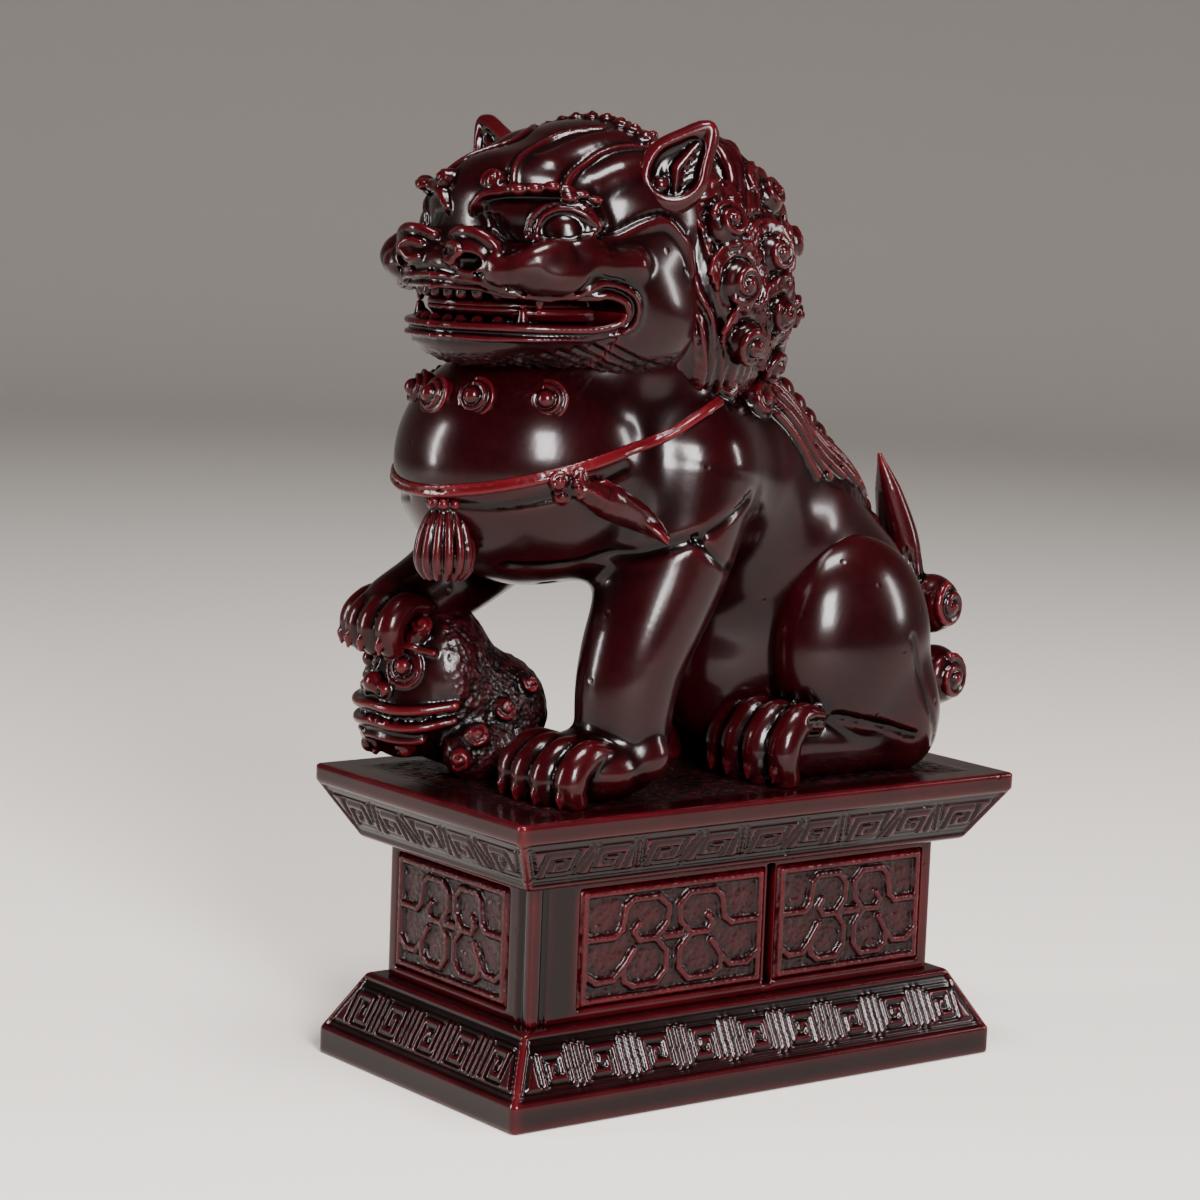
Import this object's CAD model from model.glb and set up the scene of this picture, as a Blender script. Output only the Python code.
"""Guardian lion figurine in dark red lacquered resin: looks, light and camera.

Every form is modelled as clay, a signed distance field in millimetres, then turned into a mesh.
The frame is the CAD's: +Z up, the lion faces -Y and its left flank is +X.
"""
import copy
import math

import bpy
import numpy as np
import openvdb
from mathutils import Matrix, Vector


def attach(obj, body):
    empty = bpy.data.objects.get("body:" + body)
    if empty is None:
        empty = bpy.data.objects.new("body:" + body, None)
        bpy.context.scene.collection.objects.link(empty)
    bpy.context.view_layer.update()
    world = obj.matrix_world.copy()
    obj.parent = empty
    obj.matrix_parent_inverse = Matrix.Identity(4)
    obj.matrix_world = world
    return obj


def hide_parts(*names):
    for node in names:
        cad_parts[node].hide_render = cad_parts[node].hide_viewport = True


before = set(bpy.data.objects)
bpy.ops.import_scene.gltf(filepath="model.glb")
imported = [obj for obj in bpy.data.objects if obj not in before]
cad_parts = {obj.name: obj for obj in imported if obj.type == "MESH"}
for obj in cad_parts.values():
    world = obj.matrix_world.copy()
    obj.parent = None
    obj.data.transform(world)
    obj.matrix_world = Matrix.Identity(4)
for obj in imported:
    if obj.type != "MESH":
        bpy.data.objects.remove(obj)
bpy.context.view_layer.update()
MM = 0.001
FAR = 6.0


# ---- camera, light and floor ----

CAMERA = {"azimuth": 52.81, "elevation": 7.63, "roll": 2.17, "distance": 468.7,
          "aim": (-6.35, -8.36, 63.67), "lens": 101.93, "sensor": 36.0}


def stand(name, data):
    """A new object in the scene."""
    made = bpy.data.objects.new(name, data)
    bpy.context.scene.collection.objects.link(made)
    return made


def make_camera():
    """The camera that looks at the lion's left front, a little from above."""
    azimuth, elevation, roll = (math.radians(CAMERA[k]) for k in ("azimuth", "elevation", "roll"))
    back = Vector((math.sin(azimuth) * math.cos(elevation),
        -math.cos(azimuth) * math.cos(elevation), math.sin(elevation)))
    side = Vector((0, 0, 1)).cross(back).normalized()
    up = back.cross(side)
    right = math.cos(roll) * side + math.sin(roll) * up
    top = math.cos(roll) * up - math.sin(roll) * side
    data = bpy.data.cameras.new("camera")
    data.lens = CAMERA["lens"]
    data.sensor_width = CAMERA["sensor"]
    data.clip_start = 0.01
    camera = stand("camera", data)
    place = (Vector(CAMERA["aim"]) + CAMERA["distance"] * back) * MM
    turn = Matrix((right, top, back)).transposed().to_4x4()
    camera.matrix_world = Matrix.Translation(place) @ turn
    bpy.context.scene.camera = camera


def area_light(name, place, size, power, colour):
    """A soft rectangular lamp aimed at the figurine, in metres and watts."""
    data = bpy.data.lights.new(name, "AREA")
    data.shape = "RECTANGLE"
    data.size, data.size_y = size
    data.energy = power
    data.color = colour
    lamp = stand(name, data)
    lamp.location = place
    lamp.rotation_euler = (Vector((0, 0, 0.08)) - Vector(place)).to_track_quat("-Z", "Y").to_euler()


def make_studio():
    """A pale floor that curves up far away, two soft boxes, two strips and a dim pale room."""
    rings, around = 26, 64
    reach, height, bend = 2.6, 6.0, 0.42
    points, faces = [(0.0, 0.0, 0.0)], []
    for ring in range(1, rings + 1):
        share = ring / rings
        rise = height * max(0.0, share - bend) ** 2
        points += [(reach * share * math.cos(a), reach * share * math.sin(a), rise)
            for a in (2 * math.pi * k / around for k in range(around))]
    for k in range(around):
        following = (k + 1) % around
        faces.append((0, 1 + k, 1 + following))
        for low in range(1, 1 + (rings - 1) * around, around):
            high = low + around
            faces.append((low + k, high + k, high + following, low + following))
    mesh = bpy.data.meshes.new("floor")
    mesh.from_pydata(points, [], faces)
    mesh.polygons.foreach_set("use_smooth", [True] * len(faces))
    floor = stand("floor", mesh)
    material, _, shader = new_material("floor_paper")
    shader.inputs["Base Color"].default_value = (0.60, 0.57, 0.53, 1)
    shader.inputs["Roughness"].default_value = 0.9
    floor.data.materials.append(material)
    lamps = (("key_box", (0.52, -0.20, 0.30), (0.15, 0.26), 11.0, (1.0, 0.95, 0.96)),
        ("left_strip", (-0.28, -0.50, 0.20), (0.045, 0.30), 3.4, (1.0, 0.93, 0.92)),
        ("top_box", (0.14, -0.06, 0.72), (0.24, 0.20), 9.0, (1.0, 0.97, 0.95)),
        ("rear_strip", (0.36, 0.52, 0.24), (0.06, 0.26), 2.2, (1.0, 0.95, 0.94)))
    for lamp in lamps:
        area_light(*lamp)
    world = bpy.data.worlds.new("room")
    bpy.context.scene.world = world
    world.use_nodes = True
    background = world.node_tree.nodes["Background"]
    background.inputs["Color"].default_value = (0.80, 0.77, 0.75, 1)
    background.inputs["Strength"].default_value = 0.07


# ---- clay: signed distance fields ----

def smooth_min(first, second, soft):
    """The lower of two fields, with a fillet about as wide as soft."""
    if soft <= 0:
        return np.minimum(first, second)
    mix = np.clip(0.5 + 0.5 * (second - first) / soft, 0, 1)
    return second + (first - second) * mix - soft * mix * (1 - mix)


def smooth_max(first, second, soft):
    """The higher of two fields, with a fillet about as wide as soft."""
    return -smooth_min(-first, -second, soft)


def basis(normal, along=(0, 0, 1)):
    """Three unit rows: a direction across, a direction along, and the normal."""
    normal = np.array(normal, float) / np.linalg.norm(normal)
    across = np.cross(along, normal)
    if np.linalg.norm(across) < 1e-3:
        across = np.cross((0, 1, 0), normal)
    across /= np.linalg.norm(across)
    return np.array([across, np.cross(normal, across), normal])


def spin(angle):
    """Rows of a frame turned by degrees about Z."""
    return np.array(Matrix.Rotation(math.radians(angle), 3, "Z")).T


def flank(side, *points):
    """Points on one flank, side 1 or -1: x is given as the distance from the middle."""
    return np.array(points, float) * (side, 1, 1)


def smooth_path(points, count, closed=False):
    """A Catmull-Rom curve through the points; any number of columns."""
    points = np.array(points, float)
    if closed:
        padded = np.vstack([points[-1], points, points[:2]])
    else:
        padded = np.vstack([2 * points[0] - points[1], points, 2 * points[-1] - points[-2]])
    spans = len(padded) - 3
    place = np.linspace(0, spans, count, endpoint=not closed)
    span = np.minimum(place.astype(int), spans - 1)
    t = (place - span)[:, None]
    a, b, c, d = (padded[span + k] for k in range(4))
    return 0.5 * (2 * b + (c - a) * t + (2 * a - 5 * b + 4 * c - d) * t ** 2
        + (3 * b - a - 3 * c + d) * t ** 3)


class Blob:
    """An ellipsoid; rows turn it."""

    def __init__(self, centre, radii, rows=None):
        self.centre, self.rows = np.array(centre, float), rows
        self.radii = np.array(radii, float)
        reach = self.radii if rows is None else np.sqrt(((rows.T * self.radii) ** 2).sum(1))
        self.low, self.high = self.centre - reach, self.centre + reach

    def distance(self, x, y, z):
        x, y, z = x - self.centre[0], y - self.centre[1], z - self.centre[2]
        if self.rows is not None:
            x, y, z = (row[0] * x + row[1] * y + row[2] * z for row in self.rows)
        a, b, c = self.radii
        scaled = np.sqrt((x / a) ** 2 + (y / b) ** 2 + (z / c) ** 2)
        slope = np.sqrt((x / a ** 2) ** 2 + (y / b ** 2) ** 2 + (z / c ** 2) ** 2)
        return scaled * (scaled - 1) / np.maximum(slope, 1e-6)


class Rope:
    """A tube of changing radius along a path."""

    def __init__(self, path, radii):
        self.path = np.array(path, float)
        self.radii = np.broadcast_to(np.array(radii, float), len(self.path)) \
            if np.ndim(radii) == 0 or len(radii) == len(self.path) \
            else np.interp(np.linspace(0, 1, len(self.path)), np.linspace(0, 1, len(radii)), radii)
        reach = self.radii.max()
        self.low, self.high = self.path.min(0) - reach, self.path.max(0) + reach

    def distance(self, x, y, z):
        best = None
        for start, end, thick, thin in zip(self.path, self.path[1:], self.radii, self.radii[1:]):
            way = end - start
            length = max(float(way @ way), 1e-9)
            dx, dy, dz = x - start[0], y - start[1], z - start[2]
            t = np.clip((dx * way[0] + dy * way[1] + dz * way[2]) / length, 0, 1)
            gap = np.sqrt((dx - t * way[0]) ** 2 + (dy - t * way[1]) ** 2 + (dz - t * way[2]) ** 2)
            gap = gap - (thick + t * (thin - thick))
            best = gap if best is None else np.minimum(best, gap)
        return best


class Block:
    """A box with rounded edges; rows turn it."""

    def __init__(self, centre, halves, edge=0.3, rows=None):
        self.centre, self.halves, self.edge = np.array(centre, float), np.array(halves, float), edge
        self.rows = rows
        reach = self.halves if rows is None else (np.abs(rows.T) * self.halves).sum(1)
        self.low, self.high = self.centre - reach, self.centre + reach

    def distance(self, x, y, z):
        x, y, z = x - self.centre[0], y - self.centre[1], z - self.centre[2]
        if self.rows is not None:
            x, y, z = (row[0] * x + row[1] * y + row[2] * z for row in self.rows)
        gaps = [np.abs(value) - half + self.edge for value, half in zip((x, y, z), self.halves)]
        outside = np.sqrt(sum(np.maximum(gap, 0) ** 2 for gap in gaps))
        inside = np.minimum(np.maximum(np.maximum(gaps[0], gaps[1]), gaps[2]), 0)
        return outside + inside - self.edge


class Plane:
    """Everything behind a plane through a point, away from its normal."""

    def __init__(self, point, normal):
        self.normal = np.array(normal, float) / np.linalg.norm(normal)
        self.level = float(self.normal @ np.array(point, float))

    def distance(self, x, y, z):
        return self.normal[0] * x + self.normal[1] * y + self.normal[2] * z - self.level


class Clay:
    """A lump of clay: a distance field on a regular grid, in millimetres."""

    def __init__(self, low, high, step):
        self.low, self.step = np.array(low, float), step
        counts = np.ceil((np.array(high, float) - self.low) / step).astype(int) + 1
        self.field = np.full(counts, FAR, np.float32)
        self.axes = [self.low[k] + step * np.arange(counts[k]) for k in range(3)]

    def window(self, low, high, margin):
        """The slices and open coordinates of the grid inside a box."""
        first = np.maximum(np.floor((np.maximum(low, -1e3) - margin - self.low) / self.step), 0)
        last = np.ceil((np.minimum(high, 1e3) + margin - self.low) / self.step) + 1
        cuts = tuple(slice(int(a), int(max(a, min(b, n)))) for a, b,
            n in zip(first, last, self.field.shape))
        x, y, z = (axis[cut].astype(np.float32) for axis, cut in zip(self.axes, cuts))
        return cuts, (x[:, None, None], y[None, :, None], z[None, None, :])

    def places(self):
        """The open coordinates of the whole grid."""
        return self.window(np.full(3, -1e3), np.full(3, 1e3), 0)[1]

    def add(self, shape, soft):
        """Press a shape onto the lump."""
        cuts, place = self.window(shape.low, shape.high, soft + 3 * self.step)
        if 0 not in self.field[cuts].shape:
            self.field[cuts] = smooth_min(self.field[cuts], shape.distance(*place), soft)

    def ball(self, centre, radii, soft, rows=None):
        """Press on an ellipsoid."""
        self.add(Blob(centre, radii, rows), soft)

    def tube(self, points, radii, soft):
        """Press on a tube along a path."""
        self.add(Rope(points, radii), soft)

    def cut(self, shape, soft):
        """Take a shape out of the lump."""
        cuts, place = self.window(shape.low, shape.high, soft + 3 * self.step)
        if 0 not in self.field[cuts].shape:
            self.field[cuts] = smooth_max(self.field[cuts], -shape.distance(*place), soft)

    def keep(self, shape, soft=0.0):
        """Keep only what is inside a shape."""
        self.field = smooth_max(self.field, shape.distance(*self.places()).astype(np.float32), soft)

    def sample(self, points, field=None):
        """The field at any points, by trilinear interpolation."""
        field = self.field if field is None else field
        place = (np.asarray(points) - self.low) / self.step
        place = np.clip(place, 0, np.array(field.shape) - 1.001)
        base = place.astype(int)
        part = place - base
        total = np.zeros(len(place))
        for corner in range(8):
            offset = np.array([corner & 1, corner >> 1 & 1, corner >> 2 & 1])
            weight = np.prod(np.where(offset, part, 1 - part), axis=1)
            total += weight * field[tuple((base + offset).T)]
        return total

    def slope(self, points, reach=None):
        """The outward direction of the surface near points."""
        reach = reach or self.step
        steps = np.eye(3) * reach
        grad = np.stack([self.sample(points + s) - self.sample(points - s) for s in steps], -1)
        return grad / np.maximum(np.linalg.norm(grad, axis=1, keepdims=True), 1e-6)

    def snap(self, points, lift=0.0):
        """Move points onto the surface, then lift them off it."""
        points = np.array(points, float)
        for _ in range(6):
            points -= 0.8 * self.sample(points)[:, None] * self.slope(points)
        return points + lift * self.slope(points)

    def spot(self, *place, lift=0.0):
        """The nearest place on the surface, lifted off it."""
        return self.snap([place], lift)[0]

    def groove(self, points, width, count, soft, lift=0.05):
        """Carve a line that follows the surface."""
        self.cut(Rope(self.snap(smooth_path(points, count), lift), width), soft)

    def bead(self, points, width, count, soft, closed=False, lift=0.1):
        """Lay a raised line that follows the surface."""
        self.add(Rope(self.snap(smooth_path(points, count, closed), lift), width), soft)

    def roughen(self, depth, size, seed, mask=None):
        """Push the surface in and out by random noise."""
        lump = noise(self.axes, size, seed) * depth
        self.field += (lump if mask is None else lump * mask).astype(np.float32)


def noise(axes, size, seed):
    """Smooth random values in -1..1 on a grid, with lumps of about the given size."""
    rng = np.random.default_rng(seed)
    lattice = rng.uniform(-1, 1, (32, 32, 32)).astype(np.float32)
    result = lattice
    for k, axis in enumerate(axes):
        place = (axis - axis[0]) / size
        base = place.astype(int)
        part = (place - base).astype(np.float32)
        part = part * part * (3 - 2 * part)
        shape = [1, 1, 1]
        shape[k] = len(axis)
        low = np.take(result, base % 32, axis=k)
        high = np.take(result, (base + 1) % 32, axis=k)
        result = low + (high - low) * part.reshape(shape)
    return result


def blurred(field, reach):
    """A box blur along each axis, twice."""
    for _ in range(2):
        for axis in range(3):
            total = np.cumsum(np.pad(field, [(reach + 1, reach) if k == axis else (0, 0)
                for k in range(3)], mode="edge"), axis=axis, dtype=np.float32)
            size = field.shape[axis]
            upper = np.take(total, np.arange(2 * reach + 1, 2 * reach + 1 + size), axis=axis)
            field = (upper - np.take(total, np.arange(size), axis=axis)) / (2 * reach + 1)
    return field


def to_mesh(name, clay, turn, rough):
    """A smooth closed mesh of the clay, with its raised and sunk places as an attribute."""
    edge = np.full(np.array(clay.field.shape) + 2, 2.0, np.float32)
    edge[1:-1, 1:-1, 1:-1] = np.clip(clay.field, -2, 2)
    grid = openvdb.FloatGrid(2.0)
    grid.copyFromArray(edge)
    points, triangles, quads = grid.convertToPolygons(0.0, 0.0)
    points = clay.low + (points.astype(float) - 1) * clay.step
    mesh = bpy.data.meshes.new(name)
    faces = quads.tolist() + triangles.tolist()
    relief = np.zeros(len(points))
    wide = np.clip(clay.field, -1.5, 1.5)
    for reach, gain in ((0.45, 2.2), (1.1, 1.0)):
        steps = max(1, round(reach / clay.step))
        relief += gain * clay.sample(points, blurred(wide, steps)) / reach
    grain = np.zeros(len(points)) if rough is None else rough(points)
    if turn is not None:
        points = turn(points)
    mesh.from_pydata((points * MM).tolist(), [], faces)
    for label, values in (("relief", relief), ("grain", grain)):
        store = mesh.attributes.new(label, "FLOAT", "POINT")
        store.data.foreach_set("value", values.astype(np.float32))
    mesh.polygons.foreach_set("use_smooth", [True] * len(faces))
    mesh.update()
    print(name, len(faces), "faces")
    return stand(name, mesh)


# ---- ornaments shared by the carving ----

def arc_points(centre, rows, start, end, reach, count, rise=0.0):
    """Points on an arc in the plane of the first two rows, in degrees from the first row."""
    centre = np.array(centre, float)
    angles = np.radians(np.linspace(start, end, count))
    reach = np.broadcast_to(np.linspace(*reach, count) if np.ndim(reach) else reach, count)
    return (centre + np.outer(np.cos(angles) * reach, rows[0]) + np.outer(np.sin(angles) * reach,
        rows[1]) + rise * rows[2])


def rosette(clay, centre, normal, ball, rings, gap, wide, start=-150, end=150):
    """A ball with arcs of raised line around it."""
    rows = basis(normal)
    for ring in range(rings):
        reach = ball + gap * (ring + 0.6)
        clay.bead(arc_points(centre, rows, start, end, reach, 20), wide, 24, 0.2)
    clay.ball(np.array(centre) + 0.15 * rows[2], (ball, ball, ball), 0.15, rows)


def snail(clay, centre, normal, size, turns=1.7, hand=1, start=0.0, dome=0.75, along=(0, 0, 1)):
    """A snail curl: a low dome wound with a raised coil around a bead."""
    rows = basis(normal, along)
    centre = np.array(centre, float)
    clay.ball(centre, (size * 0.92, size * 0.92, size * dome * 0.8), 0.3, rows)
    pitch = size / (turns + 0.6)
    count = int(16 * turns)
    path = []
    for t in np.linspace(0, 1, count):
        angle = math.radians(start) + hand * 2 * math.pi * turns * t
        reach = size - pitch * 0.45 - t * turns * pitch * 0.95
        rise = size * dome * 0.8 * math.sqrt(max(0.0, 1 - (reach / size) ** 2))
        path.append(centre + reach * (math.cos(angle) * rows[0] + math.sin(angle) * rows[1])
            + rise * rows[2])
    clay.tube(path, [pitch * 0.40, pitch * 0.34], 0.12)
    clay.ball(centre + size * dome * 0.85 * rows[2], [pitch * 0.55] * 3, 0.1)


def toes(clay, centre, ahead, spread, size, tall, fan):
    """Four tall rounded toes across the front of a paw, arched over to a claw each.

    centre is where the claws meet the ground, midway between the toes.
    """
    centre, ahead = np.array(centre, float), np.array(ahead, float)
    ahead /= np.linalg.norm(ahead)
    side = np.cross(ahead, (0, 0, 1))
    up = np.array((0, 0, 1.0))
    for step in (-1.5, -0.5, 0.5, 1.5):
        way = ahead + side * step * fan
        way /= np.linalg.norm(way)
        base = centre + side * step * spread - ahead * abs(step) * size * 0.4
        path = [base - way * size * 2.6 + up * tall * 0.96, base - way * size * 1.3 + up * tall,
            base - way * size * 0.15 + up * tall * 0.72, base + way * size * 0.1 + up * tall * 0.4,
            base - way * size * 0.2 + up * size * 0.5]
        clay.tube(smooth_path(path, 16), [size * 0.8, size * 0.98, size, size * 0.85], 0.22)
        tip = base + way * size * 0.75 + up * tall * 0.30
        clay.tube([tip - way * 0.8 + up * 0.9, tip + way * 0.3 - up * 0.4,
            tip + way * 0.3 - up * 1.9], [0.85, 0.75, 0.3], 0.12)


def strands(clay, first, last, number, width, count):
    """Parallel grooves over the surface, spread evenly between two guiding curves."""
    first, last = smooth_path(first, count), smooth_path(last, count)
    for share in np.linspace(0, 1, number):
        clay.groove(first + (last - first) * share, width, count, 0.12, lift=0.1)


# ---- the lion's trunk and legs ----

TRUNK = (((0, -25.5, 84), (17.6, 18.5, 16.5)), ((0, -14, 97), (16, 17, 13)),
         ((0, -2, 82), (16, 22, 17)), ((0, 14, 72.5), (13.5, 17, 16)),
         ((0, 23.5, 59.5), (15.5, 16.5, 18.5)), ((0, 14, 56), (10, 15, 15)))
DECK = 40.6


def on_deck(clay):
    """The lump with a flat foot just under the deck's face."""
    clay.keep(Plane((0, 0, DECK - 0.15), (0, 0, -1)))
    return clay


def make_trunk():
    """Chest, back, belly and both forelegs as one smooth mass."""
    clay = Clay((-25, -46, DECK - 1), (25, 44, 112), 0.42)
    for centre, radii in TRUNK:
        clay.ball(centre, radii, 3.5)
    clay.tube(smooth_path([(11.5, -8.5, 84), (12.6, -11.5, 72), (13, -17.5, 58), (12.7, -18.5, 47)],
        48), [9.6, 8.3, 7.0, 6.2], 5.0)
    clay.tube(smooth_path([(-11.5, -12.5, 82), (-13, -21, 73), (-14, -30, 66), (-14.4, -36, 62.8)],
        48), [9.0, 7.2, 5.8, 5.2], 4.0)
    # the standing paw, its ankle knob and the hollows of the leg
    clay.ball((12, -23.4, 44.8), (7.8, 7.6, 4.8), 1.6)
    clay.ball((18.4, -17.6, 46.2), (1.6, 2.6, 2.6), 1.6)
    clay.cut(Rope([(20.6, -22.5, 72), (20.9, -25.5, 60), (20.2, -26.0, 51)], [0.6, 1.5, 0.6]), 2.4)
    clay.cut(Rope([(4.6, -25.5, 68), (5.2, -26.0, 60), (5.8, -25, 53)], [0.6, 1.2, 0.6]), 2.4)
    toes(clay, (12, -31.8, DECK), (0.05, -1, 0), 3.9, 2.25, 6.6, 0.08)
    toes(clay, (-14.8, -41.4, 57.6), (-0.12, -1, 0), 3.5, 2.05, 6.4, 0.16)
    # creases: chest over the leg, elbow, shoulder and the roll under the cord
    chest_edge = [(7.5, -34, 71.6), (10.5, -30, 71.4), (12.7, -24, 72.4), (17, -19, 73.4),
        (20.6, -13.4, 75.4)]
    clay.groove(chest_edge, 0.55, 22, 1.2)
    clay.groove([(-7.5, -35, 72.6), (-11, -31, 73), (-16, -24, 75.6), (-19.4, -15, 78)], 0.7, 20,
        1.2)
    clay.groove([(20.6, -13.4, 75.4), (20.6, -9.4, 77.6), (19.4, -4, 80.6)], 0.25, 14, 1.0)
    clay.groove([(20.6, -13.4, 75.4), (20.4, -9.6, 72.4), (19, -5.4, 70.4)], 0.25, 14, 1.0)
    for side in (-1, 1):
        clay.groove(flank(side, (3, -43.6, 79.6), (10.5, -39.6, 79.4), (16.5, -32, 81.4),
            (18.6, -23, 84.6)), 0.3, 22, 1.0)
        # hair down the back from the mane to the tail's root
        for lock in range(9):
            x = 1.6 + 1.35 * lock
            reach = 1 - 0.055 * lock
            path = [(side * x * (1 - 0.35 * t * reach), 9.5 + 23 * t * reach - 0.14 * lock * lock,
                99.5 - 25 * t * reach - 0.5 * lock) for t in (0, 0.33, 0.66, 1)]
            clay.bead(path, 0.55, 26, 0.25, lift=0.3)
        strands(clay, flank(side, (1.6, 10, 99), (1.6, 19, 91), (1.4, 28, 81), (1.2, 36, 71)),
            flank(side, (13.5, 2, 96), (12.5, 9, 88), (10, 18, 80), (6, 30, 74)), 11, 0.26, 24)
    spine = [(0, 9, 99.5), (0, 18.2, 91.6), (0, 25.2, 84.4), (0, 31.6, 76.8), (0, 37.4, 68.8)]
    for knob in smooth_path(spine, 15):
        clay.ball(knob, (1.9, 2.1, 2.1), 0.3)
    # curls of hair behind the shoulders
    for side in (-1, 1):
        snail(clay, clay.spot(side * 14.6, -4.5, 95), (side, 0.1, 0.3), 2.6, hand=side)
        snail(clay, clay.spot(side * 12.6, 2.5, 92.5), (side, 0.4, 0.3), 2.9, hand=side)
    return on_deck(clay)


def make_hind_leg(side):
    """A folded hind leg: haunch, hock and long foot."""
    clay = Clay((min(0, side * 25), 0, DECK - 1), (max(0, side * 25), 42, 78), 0.4)
    clay.ball((side * 12.2, 21.4, 58.2), (8.2, 13.2, 15.6), 2)
    clay.ball((side * 12.6, 29.2, 48.6), (6.8, 7.2, 9), 3)
    clay.tube(flank(side, (12.4, 31, 45.6), (12.4, 20, 45), (12.3, 10, 45.6)), [5.2, 5.0, 5.4], 0.8)
    toes(clay, (side * 12.4, 3.4, DECK), (side * 0.1, -1, 0), 3.9, 2.35, 9.0, 0.05)
    clay.groove(flank(side, (19.6, 8.5, 49.4), (20, 14, 48.8), (20, 21, 47.6), (19.2, 28, 46.2)),
        0.5, 20, 0.7)
    clay.groove(flank(side, (20.4, 26.5, 60), (20.6, 28.6, 55), (20, 30.6, 50), (18.6, 33.6, 44.5)),
        0.35, 20, 0.6)
    return on_deck(clay)


# ---- the head: its own upright frame, set on the neck and turned by head_turn ----

NECK_Y, HEAD_TURN = -10.0, math.radians(7)


def head_turn(points):
    """From the head's own frame to the figurine's."""
    x, y = points[:, 0], points[:, 1]
    return np.stack([x * math.cos(HEAD_TURN) - y * math.sin(HEAD_TURN),
        x * math.sin(HEAD_TURN) + y * math.cos(HEAD_TURN) + NECK_Y, points[:, 2]], 1)


MOUTH = {"middle": 104.9, "half": 1.9, "corner": -18.4, "split": -18.2}


def carve_eye(clay, side):
    """A bulging eye between two thin lids that meet in a point at the outer corner."""
    normal = (side * 0.74, -0.66, 0.04)
    centre = np.array((side * 11.5, -23.7, 115.1))
    rows = basis(normal)
    outward = -side * rows[0]
    clay.cut(Blob(centre + 3.4 * rows[2], (4.4, 3.0, 1.3), rows), 0.8)
    turn = np.linspace(0, 2 * math.pi, 25)[:-1]
    for reach, tall, wide, rise in ((3.55, 2.55, 0.36, 2.4), (4.6, 3.35, 0.34, 1.9)):
        lid = []
        for angle in turn:
            across = math.cos(angle)
            point = max(0.0, across) ** 4 * 1.5
            lid.append(centre - outward * (across * reach + point)
                + rows[1] * (math.sin(angle) * tall * (1 - 0.3 * max(0, across) ** 2)
                + 0.25 * across) + rows[2] * rise)
        clay.bead(lid, wide, 40, 0.15, closed=True, lift=0.1)
    clay.ball(centre + 0.55 * rows[2], (3.0, 2.35, 2.6), 0.05, rows)


def carve_brow(clay, side):
    """A bar over the eye under a row of knobs, with a curl at its inner end."""
    bar = flank(side, (3.0, -32.2, 117.4), (4.6, -31.2, 119.2), (9, -28.4, 119.9),
        (13.4, -24.0, 120.0))
    clay.bead(bar, 0.8, 24, 0.5, lift=0.35)
    clay.groove(bar - (0, 0, 1.15), 0.45, 24, 0.4)
    knobs = smooth_path(flank(side, (8.4, -28.6, 119.9), (11, -26.4, 120.0), (13.2, -23.8, 119.9),
        (14.8, -20.8, 119.4)), 6)
    for number, knob in enumerate(clay.snap(knobs, 0.35)):
        clay.ball(knob, (1.15, 1.15, 0.8 - 0.04 * number), 0.2)
    curl = clay.spot(side * 4.8, -30.2, 121.4)
    snail(clay, curl, (side * 0.35, -0.85, 0.5), 1.9, 1.4, hand=-side, start=200)


def carve_nose(clay, side):
    """A nostril wing wound like a comma around its hole."""
    clay.ball((side * 5.0, -32.4, 111.4), (4.0, 3.8, 3.4), 0.9)
    clay.cut(Blob((side * 6.6, -35.4, 110.6), (2.2, 1.7, 1.2)), 0.35)
    wing = flank(side, (1.4, -34.2, 114.4), (4.4, -35, 115), (7.2, -34, 113.9), (8.6, -32.8, 112.2),
        (8.6, -33, 110.8))
    clay.bead(wing, 0.72, 22, 0.3, lift=0.3)
    clay.ball(clay.spot(side * 9.0, -32.4, 110.4, lift=0.3), (1.05, 1.05, 1.05), 0.2)
    clay.bead(flank(side, (2.2, -35.8, 112.9), (4.4, -36.3, 113), (5.6, -36, 111.8),
        (4.4, -36.4, 110.5), (2.6, -36, 110.8)), 0.45, 20, 0.2)


def lip_line(side, offset):
    """A line round one side of the mouth, a distance outside its opening."""
    high, low = (MOUTH["middle"] + way * (MOUTH["half"] + offset) for way in (1, -1))
    back = MOUTH["corner"] + offset
    run = ((0.0, -35.4), (5.3, -34.0), (10.2, -30.4), (13.8, -25.8), (16.4, -21.3))
    upper = [(side * x, y, high) for x, y in run]
    lower = [(side * x, y, low) for x, y in reversed(run)]
    corner = flank(side, (17.6, back - 0.9, MOUTH["middle"] + 1.3 + 0.5 * offset),
        (18, back, MOUTH["middle"]), (17.4, back - 0.9, MOUTH["middle"] - 1.3 - 0.5 * offset))
    return [*upper, *corner, *lower]


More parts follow.
